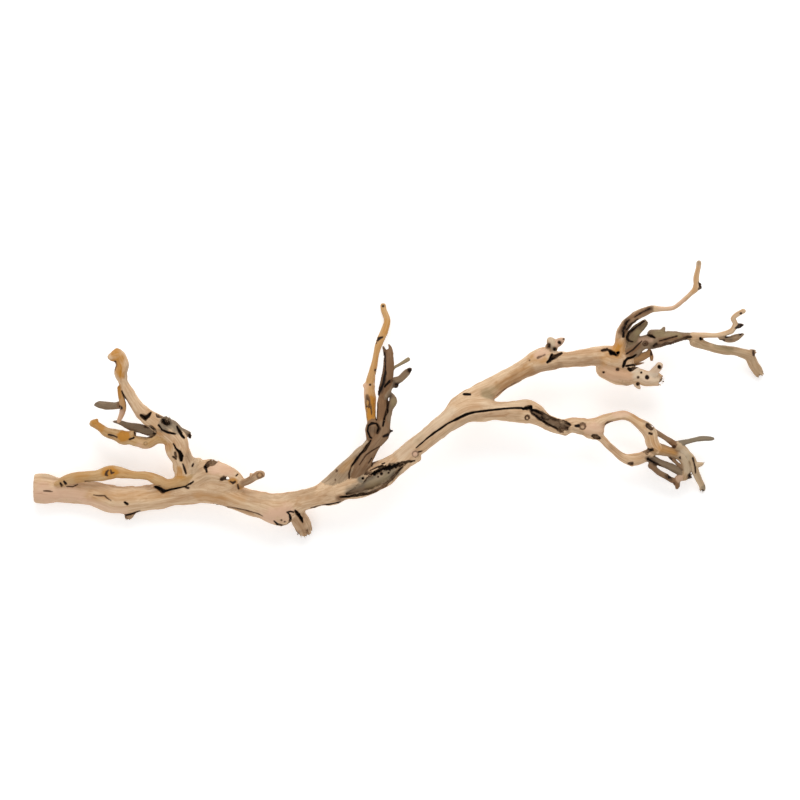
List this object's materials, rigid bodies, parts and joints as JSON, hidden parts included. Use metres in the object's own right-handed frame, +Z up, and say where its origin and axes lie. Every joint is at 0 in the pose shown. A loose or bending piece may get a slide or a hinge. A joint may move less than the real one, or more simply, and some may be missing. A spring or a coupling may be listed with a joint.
{
  "type": "fallen tree branch",
  "caption": "Bleached, weathered hardwood branch lying down: a sawn trunk that forks into crooked limbs, a knotted burl and splintered twigs.",
  "frame": {"origin": "centre of the branch's bounding box in plan, on the surface it lies on", "axes": "+X along the branch from the sawn end to the twig ends, +Y towards the tips of the side limbs, +Z up from the surface"},
  "size_m": [0.9102, 0.3392, 0.1158],
  "materials": {
    "bleached_wood": "smooth sand-blasted pale peach-tan wood with long grain and dark cracks, satin",
    "amber_wood": "waxy honey-yellow to ochre wood, satin",
    "weathered_wood": "dry grey-brown split dead wood, matt"
  },
  "bodies": {
    "root": {"trunk": "bleached_wood", "left_limb": "bleached_wood", "burl": "bleached_wood", "lower_stub": "bleached_wood", "main_limb": "bleached_wood", "upper_limb": "bleached_wood", "knobby_spur": "bleached_wood", "lower_limb": "bleached_wood", "ring_upper_arm": "bleached_wood", "ring_lower_arm": "bleached_wood", "crook_twig": "bleached_wood", "end_twig": "bleached_wood", "thin_twig": "bleached_wood", "tip_twig": "bleached_wood", "bow_twig": "amber_wood", "yellow_twig": "amber_wood", "amber_twig": "amber_wood", "left_grey_stub": "weathered_wood", "left_back_twig": "weathered_wood", "middle_limb": "weathered_wood", "brown_twig": "weathered_wood", "side_twig": "weathered_wood", "hooked_twig": "weathered_wood", "charred_stub": "weathered_wood", "blade_limb": "weathered_wood", "split_strips": "weathered_wood", "end_lattice": "weathered_wood", "right_grey_twig": "weathered_wood"}
  },
  "joints": []
}
